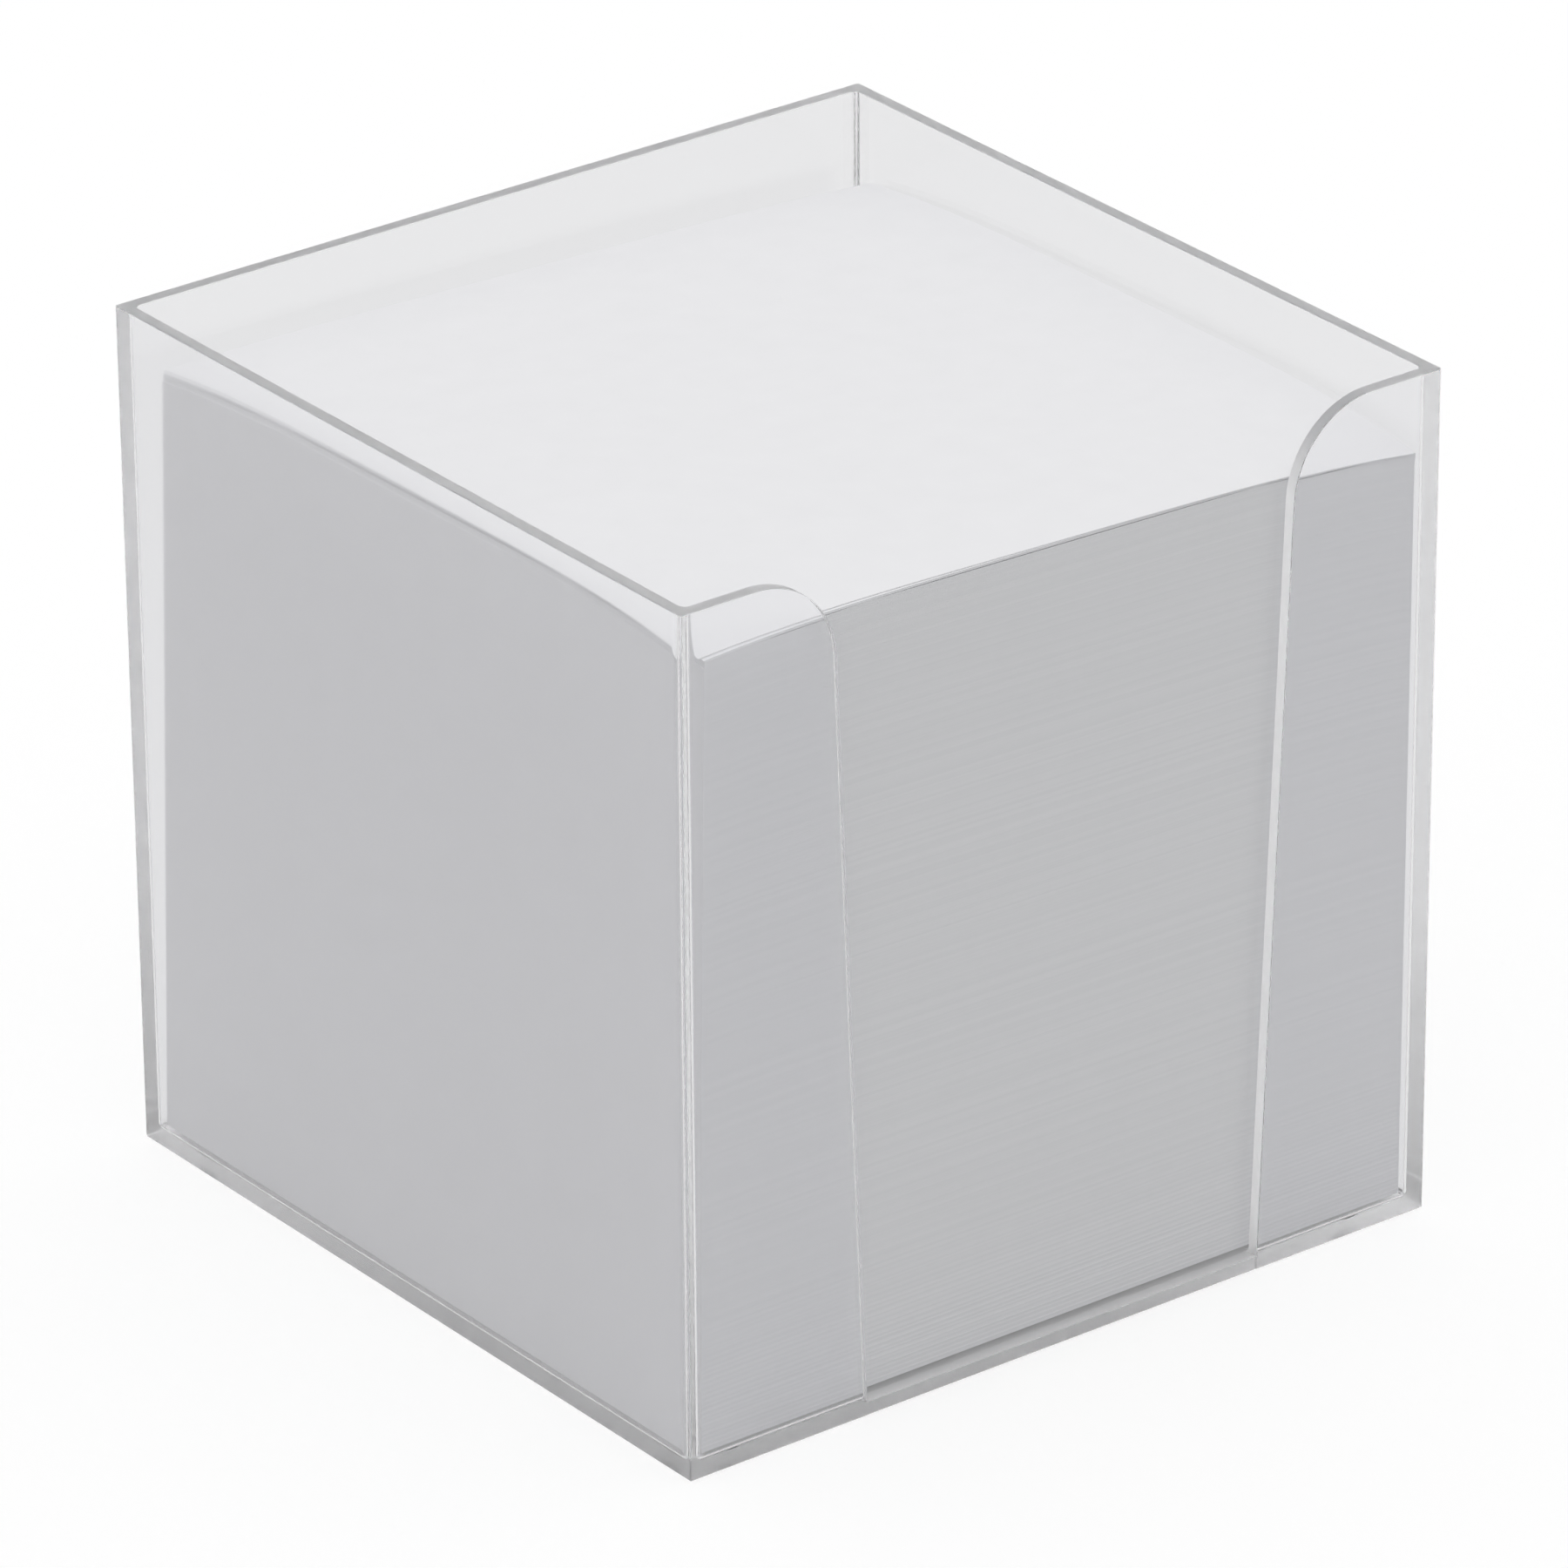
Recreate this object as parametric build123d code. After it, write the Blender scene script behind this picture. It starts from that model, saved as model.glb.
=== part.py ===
"""Clear injection-moulded memo box, open at the top, with its refill of loose white note sheets.

Frame: +Z up, origin on the desk under the middle of the box, the finger slot faces -Y.
"""
import os
from math import pi, sin, tan, radians

from build123d import *

# Note paper: 80 g/m2 sheets, cut square in one tall block, in which the blade wandered outwards on its way
# down; packets of them fill the box, and the upper ones lie singly
lowest_sheet_width = 90.2
cutting_taper = 1.2
sheet_thickness = 0.105
pile_height = 86.0
packet_count = 16
single_sheets = ("third_sheet", "second_sheet", "top_sheet")

# How the loose refill lies: the pile rises towards its left and its front, and leans to the right and forward
rise_to_left = 2.75
rise_to_front = 1.35
side_clearance = 0.75
lean_right_share = 0.55
lean_front_share = 0.74
jog_share = 0.1
jog_turn = 0.382

# Moulded box: walls drawn out of the mould with a slight draft
wall = 1.4
floor_thickness = 1.45
headroom = 7.0
draft_angle = 0.15
inner_corner_radius = 0.8
outer_corner_radius = 0.2
floor_fillet = 0.6

# Finger slot in the middle of the front wall, between two flanks that narrow from the floor to the rim
flank_width_at_floor = 22.15
slot_flare_angle = 2.4
slot_corner_radius = 10.0
slot_step = 0.15

# Round feet under the base
foot_diameter = 3.2
foot_height = 0.4
foot_inset = 7.4

# Levels and outlines that follow from these sizes
packet_thickness = (pile_height - len(single_sheets) * sheet_thickness) / packet_count
underside = foot_height
floor_top = underside + floor_thickness
rim = floor_top + pile_height + headroom
wall_height = rim - underside
top_clearance = side_clearance + cutting_taper / 2
cavity_side = lowest_sheet_width + 2 * side_clearance
draft_over_floor = floor_thickness * tan(radians(draft_angle))
base_side = cavity_side + 2 * (wall - draft_over_floor)
front_face = -base_side / 2
slot_width_at_floor = base_side - 2 * flank_width_at_floor


def moulded_box():
    """The one-piece box: drafted shell, slot down to the floor, feet fused to the underside."""
    outer_outline = Pos(0, 0, underside) * RectangleRounded(base_side, base_side, outer_corner_radius)
    outside = extrude(outer_outline, wall_height, taper=-draft_angle)
    cavity_outline = Pos(0, 0, floor_top) * RectangleRounded(cavity_side, cavity_side, inner_corner_radius)
    cavity = extrude(cavity_outline, rim - floor_top, taper=-draft_angle)
    cavity = fillet(cavity.faces().sort_by(Axis.Z)[0].edges(), floor_fillet)
    shell = outside - cavity - finger_slot() - base_step()
    rim_edges = shell.edges().filter_by(Axis.Y).group_by(Axis.Z)[-1]
    slot_corners = rim_edges.sort_by(SortBy.LENGTH)[:2]
    shell = fillet(slot_corners, slot_corner_radius)
    foot = Cylinder(foot_diameter / 2, foot_height, align=(Align.CENTER, Align.CENTER, Align.MIN))
    reach = base_side / 2 - foot_inset
    return shell + GridLocations(2 * reach, 2 * reach, 2, 2) * foot


def finger_slot():
    """The wedge of front wall that the slot leaves open, from the floor to past the rim."""
    above_rim = rim + wall
    half_at_floor = slot_width_at_floor / 2
    half_above_rim = half_at_floor + (above_rim - floor_top) * tan(radians(slot_flare_angle))
    profile = Polyline(
        (-half_at_floor, floor_top),
        (half_at_floor, floor_top),
        (half_above_rim, above_rim),
        (-half_above_rim, above_rim),
        close=True,
    )
    through_wall = extrude(Plane.XZ * make_face(profile), 3 * wall)
    return Pos(0, front_face + 2 * wall, 0) * through_wall


def base_step():
    """Below the slot the base's front edge stands back a little from the flanks beside it."""
    cut = Box(slot_width_at_floor, wall, 2 * floor_thickness, align=(Align.CENTER, Align.MAX, Align.MAX))
    return Pos(0, front_face + slot_step, floor_top) * cut


def level_plane(height):
    """The slightly tilted plane between two sheets whose middles lie at a height above the floor."""
    share = height / pile_height
    tilt_left = rise_to_left / lowest_sheet_width * share
    tilt_front = rise_to_front / lowest_sheet_width * share
    return Plane(origin=(0, 0, floor_top + height), z_dir=(tilt_left, tilt_front, 1))


def sheets_between(low, high, number):
    """Sheets lying flush, from one height above the floor to another, set down where the pile leans to."""
    share = high / pile_height
    width = lowest_sheet_width - cutting_taper * share
    jog = jog_share * side_clearance * sin(2 * pi * jog_turn * number)
    place_x = lean_right_share * top_clearance * share + jog
    place_y = -lean_front_share * top_clearance * share - jog
    tall = pile_height + rise_to_left + rise_to_front
    block = Box(width, width, tall, align=(Align.CENTER, Align.CENTER, Align.MIN))
    block = Pos(place_x, place_y, floor_top) * block
    if low > 0:
        block = split(block, level_plane(low), keep=Keep.TOP)
    return split(block, level_plane(high), keep=Keep.BOTTOM)


def refill():
    """Every packet of sheets from the floor up, then the single sheets on top, by name."""
    pieces = {}
    level = 0.0
    for number in range(1, packet_count + 1):
        pieces[f"sheet_packet_{number:02d}"] = sheets_between(level, level + packet_thickness, number)
        level += packet_thickness
    for number, name in enumerate(single_sheets, packet_count + 1):
        pieces[name] = sheets_between(level, level + sheet_thickness, number)
        level += sheet_thickness
    return pieces


os.makedirs("parts", exist_ok=True)
export_step(moulded_box(), "parts/clear_box.step")
for name, sheets in refill().items():
    export_step(sheets, f"parts/{name}.step")
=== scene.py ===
"""A clear memo box with its refill of loose note sheets, as it stands on a white desk."""
import math
import random

import bmesh
import bpy
from mathutils import Matrix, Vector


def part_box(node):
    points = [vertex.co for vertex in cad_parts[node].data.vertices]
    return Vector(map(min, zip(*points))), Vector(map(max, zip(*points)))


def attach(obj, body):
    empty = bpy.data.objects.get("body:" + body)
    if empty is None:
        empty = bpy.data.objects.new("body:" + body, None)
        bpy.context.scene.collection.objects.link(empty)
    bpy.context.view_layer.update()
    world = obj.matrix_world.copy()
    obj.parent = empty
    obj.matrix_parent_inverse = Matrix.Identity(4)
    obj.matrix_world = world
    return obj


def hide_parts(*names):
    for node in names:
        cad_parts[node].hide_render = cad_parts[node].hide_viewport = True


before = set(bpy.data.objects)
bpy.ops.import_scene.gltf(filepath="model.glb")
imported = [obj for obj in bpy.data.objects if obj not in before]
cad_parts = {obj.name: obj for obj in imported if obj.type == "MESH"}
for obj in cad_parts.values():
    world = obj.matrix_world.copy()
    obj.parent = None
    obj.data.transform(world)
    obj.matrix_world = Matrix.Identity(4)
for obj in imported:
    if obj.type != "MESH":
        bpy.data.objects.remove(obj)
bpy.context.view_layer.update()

# The box: one injection moulding of clear polystyrene. It was drawn upwards off its core, so the walls
# lean out by a fraction of a degree. The front wall is open in the middle, down to the floor, and four
# low round feet stand on the underside.
mm = 0.001
box_low, box_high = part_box("clear_box")
wall = 1.4 * mm
foot_height = 0.4 * mm
floor_thickness = 1.45 * mm
draft = math.tan(math.radians(0.15))
floor_top = foot_height + floor_thickness
rim = box_high.z
rim_side = box_high.x - box_low.x
base_side = rim_side - 2 * draft * (rim - foot_height)
cavity_side = rim_side - 2 * wall - 2 * draft * (rim - floor_top)
flank_at_floor = 22.15 * mm
slot_flare = math.radians(2.4)
slot_corner_radius = 10 * mm
slot_step = 0.15 * mm
inner_corner_radius = 0.8 * mm
outer_corner_radius = 0.2 * mm
floor_fillet = 0.6 * mm
edge_softness = 0.13 * mm
foot_radius = 1.6 * mm
foot_inset = 7.4 * mm
nudge = 0.01 * mm


def begin(name):
    """Names the primitive just added, puts its place and size into its mesh and opens it for editing."""
    piece = bpy.context.object
    piece.name = piece.data.name = name
    bpy.ops.object.transform_apply(location=True, rotation=True, scale=True)
    bpy.ops.object.mode_set(mode="EDIT")
    return piece


def pick(piece, kind, wanted):
    """Selects, in edit mode, only the faces, edges or corners that wanted says yes to."""
    bpy.ops.mesh.select_mode(type=kind)
    bpy.ops.mesh.select_all(action="DESELECT")
    mesh = bmesh.from_edit_mesh(piece.data)
    mesh.normal_update()
    for part in {"VERT": mesh.verts, "EDGE": mesh.edges, "FACE": mesh.faces}[kind]:
        if wanted(part):
            part.select_set(True)
    mesh.select_flush_mode()
    bmesh.update_edit_mesh(piece.data)


def middle(edge):
    """The point halfway along an edge."""
    return (edge.verts[0].co + edge.verts[1].co) / 2


def runs_along(edge, axis):
    """Whether an edge runs along one axis, apart from the draft."""
    along = (edge.verts[1].co - edge.verts[0].co).normalized()
    return abs(along[axis]) > 0.99


def combine(piece, shape, operation):
    """Adds the shape just made to a piece, or cuts it out of the piece, and then deletes the shape."""
    bpy.ops.object.select_all(action="DESELECT")
    bpy.context.view_layer.objects.active = piece
    step = piece.modifiers.new("combine", "BOOLEAN")
    step.object = shape
    step.operation = operation
    step.solver = "EXACT"
    bpy.ops.object.modifier_apply(modifier=step.name)
    bpy.data.objects.remove(shape)


bpy.ops.object.select_all(action="DESELECT")
bpy.ops.mesh.primitive_cube_add(
    size=1,
    location=(0, 0, (rim + foot_height) / 2),
    scale=(base_side, base_side, rim - foot_height),
)
box = begin("moulded_box")

# The cube's top is drawn out by the draft, and the hollow is sunk into it down to the floor.
pick(box, "FACE", lambda face: face.normal.z > 0.9)
bpy.ops.transform.resize(value=(rim_side / base_side, rim_side / base_side, 1))
bpy.ops.mesh.inset(thickness=wall)
bpy.ops.mesh.extrude_region_move(TRANSFORM_OT_translate={"value": (0, 0, floor_top - rim)})
cavity_draw = cavity_side / (rim_side - 2 * wall)
bpy.ops.transform.resize(value=(cavity_draw, cavity_draw, 1))

# The hollow's upright corners and the edge of its floor are rounded, the outside corners only just.
inside = cavity_side / 2 + wall / 2
pick(box, "EDGE", lambda edge: runs_along(edge, 2) and abs(middle(edge).x) < inside)
bpy.ops.mesh.bevel(offset=inner_corner_radius, segments=6, affect="EDGES")
pick(box, "FACE", lambda face: face.normal.z > 0.9 and face.calc_center_median().z < rim / 2)
bpy.ops.mesh.region_to_loop()
bpy.ops.mesh.bevel(offset=floor_fillet, segments=4, affect="EDGES")
pick(box, "EDGE", lambda edge: runs_along(edge, 2) and abs(middle(edge).x) > inside)
bpy.ops.mesh.bevel(offset=outer_corner_radius, segments=3, affect="EDGES")

# The slot is parted off the front wall along its two leaning sides and along the floor.
slot_half = base_side / 2 - flank_at_floor
front = -rim_side / 2


def in_front_wall(face):
    """Whether a face belongs to the front wall's two sides or its rim."""
    place = face.calc_center_median()
    return place.y < front + 2 * wall and place.z > floor_top and abs(place.x) < cavity_side / 2


def across_slot(face):
    """Whether a face of the front wall lies between the slot's two sides."""
    return in_front_wall(face) and abs(face.calc_center_median().x) < slot_half / 2


for side in (1, -1):
    pick(box, "FACE", in_front_wall)
    bpy.ops.mesh.bisect(
        plane_co=(side * slot_half, 0, floor_top),
        plane_no=(side * math.cos(slot_flare), 0, -math.sin(slot_flare)),
    )
pick(box, "FACE", across_slot)
bpy.ops.mesh.bisect(plane_co=(0, 0, floor_top), plane_no=(0, 0, 1))
pick(box, "FACE", across_slot)
bpy.ops.mesh.delete(type="FACE")
for side in (1, -1):
    pick(box, "VERT", lambda corner: corner.is_boundary and corner.co.x * side > 0)
    bpy.ops.mesh.edge_face_add()
pick(box, "VERT", lambda corner: corner.is_boundary)
bpy.ops.mesh.edge_face_add()
bpy.ops.mesh.select_all(action="SELECT")
bpy.ops.mesh.dissolve_limited(angle_limit=math.radians(0.05))

# The flanks' corners at the rim are rounded in a wide arc, and every edge is softened by the mould.
corner_reach = slot_corner_radius / math.tan(math.radians(45) + slot_flare / 2)
slot_reach = base_side / 2 - slot_corner_radius
sharp_turn = math.radians(50)


def at_slot_mouth(edge):
    """Whether an edge runs through the wall at the rim, where a flank ends at the slot."""
    return runs_along(edge, 1) and middle(edge).z > rim - nudge and abs(middle(edge).x) < slot_reach


pick(box, "EDGE", at_slot_mouth)
bpy.ops.mesh.bevel(offset=corner_reach, segments=16, affect="EDGES", clamp_overlap=False)
pick(box, "EDGE", lambda edge: edge.calc_face_angle(0) > sharp_turn)
bpy.ops.mesh.bevel(offset=edge_softness, segments=3, affect="EDGES")
bpy.ops.object.mode_set(mode="OBJECT")

# The base's front edge stands back a little below the slot, and the feet are joined to the underside.
bpy.ops.mesh.primitive_cube_add(
    size=1,
    location=(0, -base_side / 2 + slot_step - wall / 2, foot_height + floor_thickness / 2),
    scale=(2 * slot_half, wall, 4 * floor_thickness),
)
combine(box, bpy.context.object, "DIFFERENCE")
foot_reach = base_side / 2 - foot_inset
for foot_x in (-foot_reach, foot_reach):
    for foot_y in (-foot_reach, foot_reach):
        bpy.ops.mesh.primitive_cylinder_add(
            vertices=40,
            radius=foot_radius,
            depth=2 * foot_height,
            location=(foot_x, foot_y, foot_height),
        )
        combine(box, bpy.context.object, "UNION")
bpy.ops.object.select_all(action="DESELECT")
box.select_set(True)
bpy.context.view_layer.objects.active = box
smooth_turn = math.radians(35)
bpy.ops.object.shade_smooth_by_angle(angle=smooth_turn)
flatness = box.modifiers.new("flatness", "WEIGHTED_NORMAL")
flatness.weight = 100
flatness.keep_sharp = True
bpy.ops.object.modifier_apply(modifier=flatness.name)

# The rim and the slot's sides lie on the mould's parting faces, which are ground but not polished.
trim_dullness = 0.35
facing_front = 0.7
trim = box.data.attributes.new("trim_dullness", "FLOAT", "FACE")
for face in box.data.polygons:
    on_rim = face.center.z > rim - edge_softness
    beside_slot = face.center.y < front + 2 * wall and abs(face.center.x) < slot_reach
    on_slot_side = beside_slot and face.center.z > floor_top and abs(face.normal.y) < facing_front
    trim.data[face.index].value = trim_dullness if on_rim or on_slot_side else 0.0


def linear(colour):
    """An sRGB hex colour as linear red, green and blue, with full alpha."""
    shares = [int(colour[i : i + 2], 16) / 255 for i in (1, 3, 5)]
    return [c / 12.92 if c <= 0.04045 else ((c + 0.055) / 1.055) ** 2.4 for c in shares] + [1]


def add_node(tree, kind, inputs, **settings):
    """Adds a node, with its settings, and its inputs by name: a value, or another node and its output."""
    node = tree.nodes.new("ShaderNode" + kind)
    for name, value in settings.items():
        setattr(node, name, value)
    for name, value in inputs.items():
        if isinstance(value, tuple) and isinstance(value[0], bpy.types.Node):
            tree.links.new(value[0].outputs[value[1]], node.inputs[name])
        else:
            node.inputs[name].default_value = value
    return node


def new_material(name):
    """An empty node material."""
    material = bpy.data.materials.new(name)
    material.use_nodes = True
    material.node_tree.nodes.clear()
    return material


# Clear polystyrene: colourless and bright, with a high index for a plastic. Its faces fall a shade short of
# a polish, which evens out the light that runs round in the walls. The flow of the melt leaves a faint
# waviness and handling fine dull specks. The underside's matt grain greys the edges of the base.
flow_size = 12 * mm
flow_depth = 0.02 * mm
speck_size = 0.6 * mm
face_dullness = 0.1
speck_dullness = 0.13
underside_dullness = 0.22
clear_polystyrene = new_material("clear_polystyrene_moulded")
tree = clear_polystyrene.node_tree
place = add_node(tree, "TexCoord", {})
flow = add_node(tree, "TexNoise", {"Vector": (place, "Object"), "Scale": 1 / flow_size, "Detail": 1.0})
waviness = add_node(tree, "Bump", {"Height": (flow, "Fac"), "Strength": 0.1, "Distance": flow_depth})
specks = add_node(tree, "TexNoise", {"Vector": (place, "Object"), "Scale": 1 / speck_size, "Detail": 3.0})
dullness = add_node(
    tree,
    "MapRange",
    {
        "Value": (specks, "Fac"),
        "From Min": 0.55,
        "From Max": 0.8,
        "To Min": face_dullness,
        "To Max": speck_dullness,
    },
)
parts = add_node(tree, "SeparateXYZ", {"Vector": (place, "Object")})
grained = add_node(
    tree,
    "MapRange",
    {
        "Value": (parts, "Z"),
        "From Min": foot_height + 0.05 * mm,
        "From Max": foot_height + 0.2 * mm,
        "To Min": underside_dullness,
        "To Max": 0.0,
    },
)
trimmed = add_node(tree, "Attribute", {}, attribute_name="trim_dullness")
dull = add_node(tree, "Math", {0: (dullness, "Result"), 1: (grained, "Result")}, operation="MAXIMUM")
roughness = add_node(tree, "Math", {0: (dull, "Value"), 1: (trimmed, "Fac")}, operation="MAXIMUM")
plastic = add_node(
    tree,
    "BsdfPrincipled",
    {
        "Base Color": linear("#fcfcfd"),
        "IOR": 1.59,
        "Transmission Weight": 0.991,
        "Roughness": (roughness, "Value"),
        "Normal": (waviness, "Normal"),
    },
)
add_node(tree, "OutputMaterial", {"Surface": (plastic, "BSDF")})
box.data.materials.clear()
box.data.materials.append(clear_polystyrene)
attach(box, "box")
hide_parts("clear_box")

# The refill: loose 80 g sheets, guillotined square in one block and dropped into the box. The blade left
# the lower ones a little wider. Nothing holds them, so runs of sheets stand off each other by a hair, and
# the pile leans to the right and forwards, is higher on its left and front, and droops at its corners.
sheet_side = 90.2 * mm
cutting_taper = 1.2 * mm
sheet_pitch = 0.105 * mm
sheet_thickness = 0.1 * mm
packet_count = 16
sheets_per_packet = 51
single_sheets = ("third_sheet", "second_sheet", "top_sheet")
sheet_count = packet_count * sheets_per_packet + len(single_sheets)
pile_height = sheet_count * sheet_pitch
air = 0.02 * mm
lean_right = 0.74 * mm
lean_front = 1.0 * mm
rise_to_left = 2.75 * mm
rise_to_front = 1.35 * mm
middle_lift = 0.86 * mm
edge_droop = 0.95 * mm
corner_droop = 1.0 * mm
more_droop_in_front = 0.4

# Runs of a few sheets kept together when the block was knocked up, in short uneven steps near its foot and
# in longer, slighter ones above. The uppermost few have slid to the right. The lowest three came out short
# under the knife, which leaves a thin shadow along the foot of the pile.
chance = random.Random(7)
fanned_height = 14 * mm
fanned_reach = 0.018 * mm
fanned_run = 3
usual_reach = 0.004 * mm
usual_run = 9
fine_reach = 0.004 * mm
tone_spread = 0.1
upper_sheets = 9
upper_slip = 0.1 * mm
short_sheets = 3
shortfall = 1.0 * mm
run_places = []
side = 1
while len(run_places) < sheet_count:
    fanned = max(0, 1 - len(run_places) * sheet_pitch / fanned_height)
    reach = chance.uniform(0.3, 1) * (usual_reach + fanned * (fanned_reach - usual_reach))
    run_places += [side * reach] * chance.randint(2, fanned_run if fanned else usual_run)
    side = -side


def lie(across, along, level):
    """The height of a sheet's underside, at a place on it, when it lies at a level in the pile."""
    to_right = across / (sheet_side / 2)
    to_back = along / (sheet_side / 2)
    tilt = -(rise_to_left * to_right + rise_to_front * to_back) / 2
    at_corner = (1 - more_droop_in_front * to_back) * (to_right * to_back) ** 4
    droop = edge_droop * to_back**4 + corner_droop * at_corner
    return floor_top + air + level + level / pile_height * (middle_lift + tilt - droop)


def lay_sheets(piece, count, first, turn=0.0, slip_back=0.0, lift=0.0):
    """Sets down each sheet of a stack of flat copies: cut to size, turned, shifted and bent to the pile."""
    corners = len(piece.data.vertices) // count
    cut_tone = piece.data.attributes.new("cut_tone", "FLOAT", "POINT")
    for number in range(count):
        index = first + number
        level = index * sheet_pitch
        share = level / pile_height
        cut = 1 - cutting_taper * share / sheet_side
        if index < short_sheets:
            cut -= 2 * shortfall / sheet_side
        slip_right = chance.uniform(-fine_reach, fine_reach)
        slip = slip_back + run_places[index] + chance.uniform(-fine_reach, fine_reach)
        if index >= sheet_count - upper_sheets:
            slip_right += upper_slip
        tone = 0.5 + run_places[index] / (2 * fanned_reach) + chance.uniform(-tone_spread, tone_spread)
        for place in range(number * corners, (number + 1) * corners):
            corner = piece.data.vertices[place]
            across = (corner.co.x - turn * corner.co.y) * cut + slip_right
            along = (corner.co.y + turn * corner.co.x) * cut + slip
            height = lie(across, along, level) + lift + corner.co.z - number * sheet_pitch
            corner.co = (across + lean_right * share, along - lean_front * share, height)
            cut_tone.data[place].value = tone


def cut_sheet(name, lines):
    """One flat sheet on the origin: a grid with its lines at shares of the half side, given a thickness."""
    cells = len(lines) - 1
    bpy.ops.object.select_all(action="DESELECT")
    bpy.ops.mesh.primitive_grid_add(x_subdivisions=cells, y_subdivisions=cells, size=sheet_side)
    sheet = begin(name)
    bpy.ops.object.mode_set(mode="OBJECT")
    steps = sorted({round(corner.co.x, 6) for corner in sheet.data.vertices})
    for corner in sheet.data.vertices:
        corner.co.x = lines[steps.index(round(corner.co.x, 6))] * sheet_side / 2
        corner.co.y = lines[steps.index(round(corner.co.y, 6))] * sheet_side / 2
    body = sheet.modifiers.new("thickness", "SOLIDIFY")
    body.thickness = sheet_thickness
    body.offset = 1
    bpy.ops.object.modifier_apply(modifier=body.name)
    return sheet


# Uncoated wood-free paper, 80 g: matt and faintly cool, with soft fibre clouds and a tooth too fine to show.
# On its front and back edges, which were cut last, the tone differs a little from sheet to sheet, so that
# they look finely lined.
cloud_size = 4 * mm
tooth_size = 0.4 * mm
tooth_depth = 0.004 * mm
note_paper = new_material("uncoated_note_paper")
tree = note_paper.node_tree
place = add_node(tree, "TexCoord", {})
clouds = add_node(tree, "TexNoise", {"Vector": (place, "Object"), "Scale": 1 / cloud_size, "Detail": 3.0})
white = add_node(
    tree,
    "MixRGB",
    {"Fac": (clouds, "Fac"), "Color1": linear("#efeff1"), "Color2": linear("#f3f3f5")},
)
sheet_tone = add_node(tree, "Attribute", {}, attribute_name="cut_tone")
cut_white = add_node(
    tree,
    "MixRGB",
    {"Fac": (sheet_tone, "Fac"), "Color1": linear("#ebecee"), "Color2": linear("#f6f6f8")},
)
facing = add_node(tree, "NewGeometry", {})
facing_parts = add_node(tree, "SeparateXYZ", {"Vector": (facing, "True Normal")})
on_cut = add_node(tree, "Math", {0: (facing_parts, "Y")}, operation="ABSOLUTE")
colour = add_node(
    tree,
    "MixRGB",
    {"Fac": (on_cut, "Value"), "Color1": (white, "Color"), "Color2": (cut_white, "Color")},
)
tooth = add_node(tree, "TexNoise", {"Vector": (place, "Object"), "Scale": 1 / tooth_size, "Detail": 2.0})
grain = add_node(tree, "Bump", {"Height": (tooth, "Fac"), "Strength": 0.2, "Distance": tooth_depth})
paper = add_node(
    tree,
    "BsdfPrincipled",
    {"Base Color": (colour, "Color"), "Roughness": 0.85, "Normal": (grain, "Normal")},
)
add_node(tree, "OutputMaterial", {"Surface": (paper, "BSDF")})

# Each packet is a stack of flat copies of one sheet, whose lines lie closer where it bends most.
packet_lines = (-1, -0.87, -0.55, 0.55, 0.87, 1)
for number in range(packet_count):
    packet = cut_sheet(f"sheets_{number + 1:02d}", packet_lines)
    copies = packet.modifiers.new("copies", "ARRAY")
    copies.count = sheets_per_packet
    copies.use_relative_offset = False
    copies.use_constant_offset = True
    copies.constant_offset_displace = (0, 0, sheet_pitch)
    bpy.ops.object.modifier_apply(modifier=copies.name)
    lay_sheets(packet, sheets_per_packet, number * sheets_per_packet)
    packet.data.materials.append(note_paper)
    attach(packet, "refill")
    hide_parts(f"sheet_packet_{number + 1:02d}")

# The three upper sheets lie singly. The top one has been taken hold of and lies a little askew, so that
# it stands back from the front edge on its left and shows a strip of the sheet below.
single_cells = 24
single_lines = tuple(-1 + 2 * step / single_cells for step in range(single_cells + 1))
single_turns = (0.0, -0.0015, -0.0095)
single_slips = (0.0, 0.02 * mm, 0.09 * mm)
single_lifts = (0.005 * mm, 0.015 * mm, 0.03 * mm)
for number, name in enumerate(single_sheets):
    sheet = cut_sheet(f"{name}_paper", single_lines)
    lay_sheets(
        sheet,
        1,
        packet_count * sheets_per_packet + number,
        single_turns[number],
        single_slips[number],
        single_lifts[number],
    )
    sheet.data.materials.append(note_paper)
    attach(sheet, name)
    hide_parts(name)

# The desk: a plain pale sweep. To the camera it is the white of a product picture and through the plastic
# a light grey, faded to a painted shadow under the box and a little round it. The feet press on it closely.
desk_side = 6.0
desk_level = 0.005 * mm
desk_white = 0.77
desk_through_plastic = 0.61
# Painted shadow: the glow left under the box, and the width over which it fades in from the glow around it.
painted_shadow_glow = 0.05
painted_shadow_width = 6.0 * mm
bpy.ops.object.select_all(action="DESELECT")
bpy.ops.mesh.primitive_plane_add(size=desk_side, location=(0, 0, desk_level))
desk = begin("desk")
bpy.ops.object.mode_set(mode="OBJECT")


def straight_look(tree, to_camera, through_plastic):
    """Whether a ray is the camera's own or came only by plastic, and the strength that it is to meet."""
    ray = add_node(tree, "LightPath", {})
    bent = add_node(
        tree,
        "Math",
        {0: (ray, "Is Glossy Ray"), 1: (ray, "Is Transmission Ray")},
        operation="MAXIMUM",
    )
    clean = add_node(tree, "Math", {0: (ray, "Diffuse Depth"), 1: 0.5}, operation="LESS_THAN")
    by_plastic = add_node(tree, "Math", {0: (bent, "Value"), 1: (clean, "Value")}, operation="MULTIPLY")
    looking = add_node(tree, "Math", {0: (ray, "Is Camera Ray"), 1: (by_plastic, "Value")}, operation="ADD")
    direct = add_node(tree, "Math", {0: (ray, "Is Camera Ray"), 1: to_camera}, operation="MULTIPLY")
    strength = add_node(
        tree,
        "Math",
        {0: (by_plastic, "Value"), 1: through_plastic, 2: (direct, "Value")},
        operation="MULTIPLY_ADD",
    )
    return looking, strength


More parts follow.
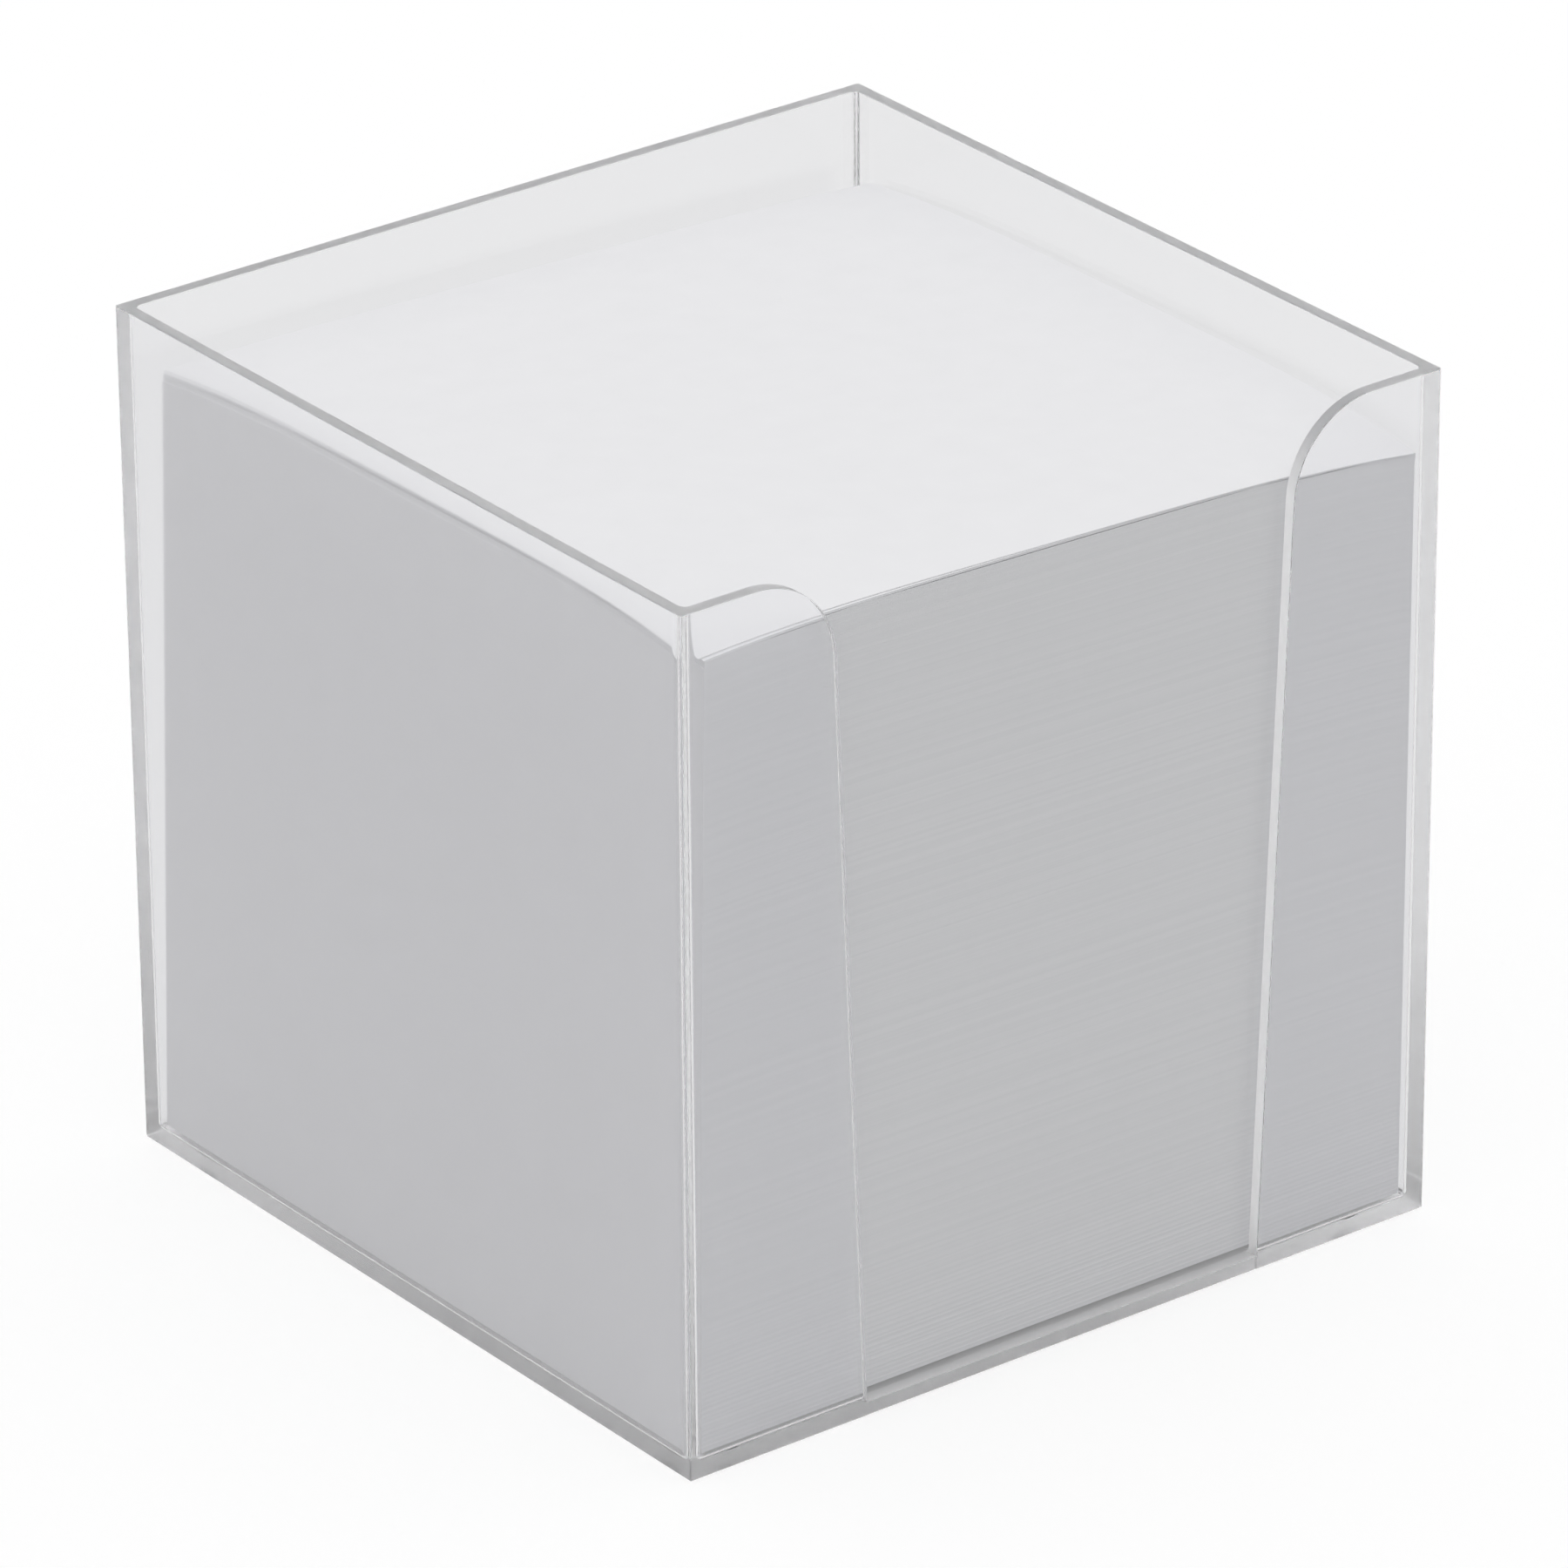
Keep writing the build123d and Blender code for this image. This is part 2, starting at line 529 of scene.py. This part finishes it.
pale_desk = new_material("pale_matt_desk")
tree = pale_desk.node_tree
place = add_node(tree, "TexCoord", {})
parts = add_node(tree, "SeparateXYZ", {"Vector": (place, "Object")})
off_x = add_node(tree, "Math", {0: (parts, "X")}, operation="ABSOLUTE")
off_y = add_node(tree, "Math", {0: (parts, "Y")}, operation="ABSOLUTE")
off = add_node(tree, "Math", {0: (off_x, "Value"), 1: (off_y, "Value")}, operation="MAXIMUM")
# Painted shadow: the glow seen through the plastic fades from light grey to almost nothing under the box.
glow_with_painted_shadow = add_node(
    tree,
    "MapRange",
    {
        "Value": (off, "Value"),
        "From Min": base_side / 2 - painted_shadow_width,
        "From Max": base_side / 2,
        "To Min": painted_shadow_glow,
        "To Max": desk_through_plastic,
    },
)
looking, strength = straight_look(tree, desk_white, (glow_with_painted_shadow, "Result"))
lit = add_node(tree, "BsdfDiffuse", {"Color": linear("#cccccc")})
faint = add_node(tree, "BsdfDiffuse", {"Color": linear("#898989")})
white_ground = add_node(tree, "Emission", {"Color": linear("#ffffff"), "Strength": (strength, "Value")})
seen = add_node(tree, "AddShader", {0: (faint, "BSDF"), 1: (white_ground, "Emission")})
surface = add_node(tree, "MixShader", {0: (looking, "Value"), 1: (lit, "BSDF"), 2: (seen, "Shader")})
add_node(tree, "OutputMaterial", {"Surface": (surface, "Shader")})
desk.data.materials.append(pale_desk)

# The studio: soft light from a pale ceiling, darker towards the walls. To the camera it is plain white, and
# through the plastic it is white overhead and greyer lower down.
ceiling_light = 1.28
wall_light = 0.2
backdrop_white = 1.0
pale_wall = 0.55
studio = bpy.data.worlds.new("studio")
bpy.context.scene.world = studio
studio.use_nodes = True
tree = studio.node_tree
tree.nodes.clear()
place = add_node(tree, "TexCoord", {})
parts = add_node(tree, "SeparateXYZ", {"Vector": (place, "Generated")})
height = add_node(tree, "MapRange", {"Value": (parts, "Z"), "To Min": wall_light, "To Max": ceiling_light})
pale = add_node(tree, "MapRange", {"Value": (parts, "Z"), "To Min": pale_wall, "To Max": backdrop_white})
looking, strength = straight_look(tree, backdrop_white, (pale, "Result"))
light = add_node(
    tree,
    "Mix",
    {"Factor": (looking, "Value"), "A": (height, "Result"), "B": (strength, "Value")},
    data_type="FLOAT",
)
backdrop = add_node(tree, "Background", {"Color": linear("#ffffff"), "Strength": (light, "Result")})
add_node(tree, "OutputWorld", {"Surface": (backdrop, "Background")})

# The camera: a long lens, looking down on the front left corner. The rim and the base are light guides, in
# which light goes round dozens of times before it comes out.
camera_place = (-0.6676, -0.8791, 0.5767)
camera_heading = math.radians(-37.25)
camera_dip = math.radians(25.72)
camera_roll = math.radians(-0.41)
camera = bpy.data.objects.new("camera", bpy.data.cameras.new("camera"))
bpy.context.scene.collection.objects.link(camera)
camera.data.sensor_width = 36
camera.data.lens = 275.4
camera.data.clip_end = 20
camera.matrix_world = (
    Matrix.Translation(camera_place)
    @ Matrix.Rotation(camera_heading, 4, "Z")
    @ Matrix.Rotation(math.radians(90) - camera_dip, 4, "X")
    @ Matrix.Rotation(camera_roll, 4, "Z")
)
bpy.context.scene.camera = camera
bpy.context.scene.view_settings.view_transform = "Standard"
light_guide_bounces = 128
bpy.context.scene.cycles.max_bounces = light_guide_bounces
bpy.context.scene.cycles.transmission_bounces = light_guide_bounces
bpy.context.scene.cycles.glossy_bounces = light_guide_bounces
bpy.context.scene.cycles.blur_glossy = 0
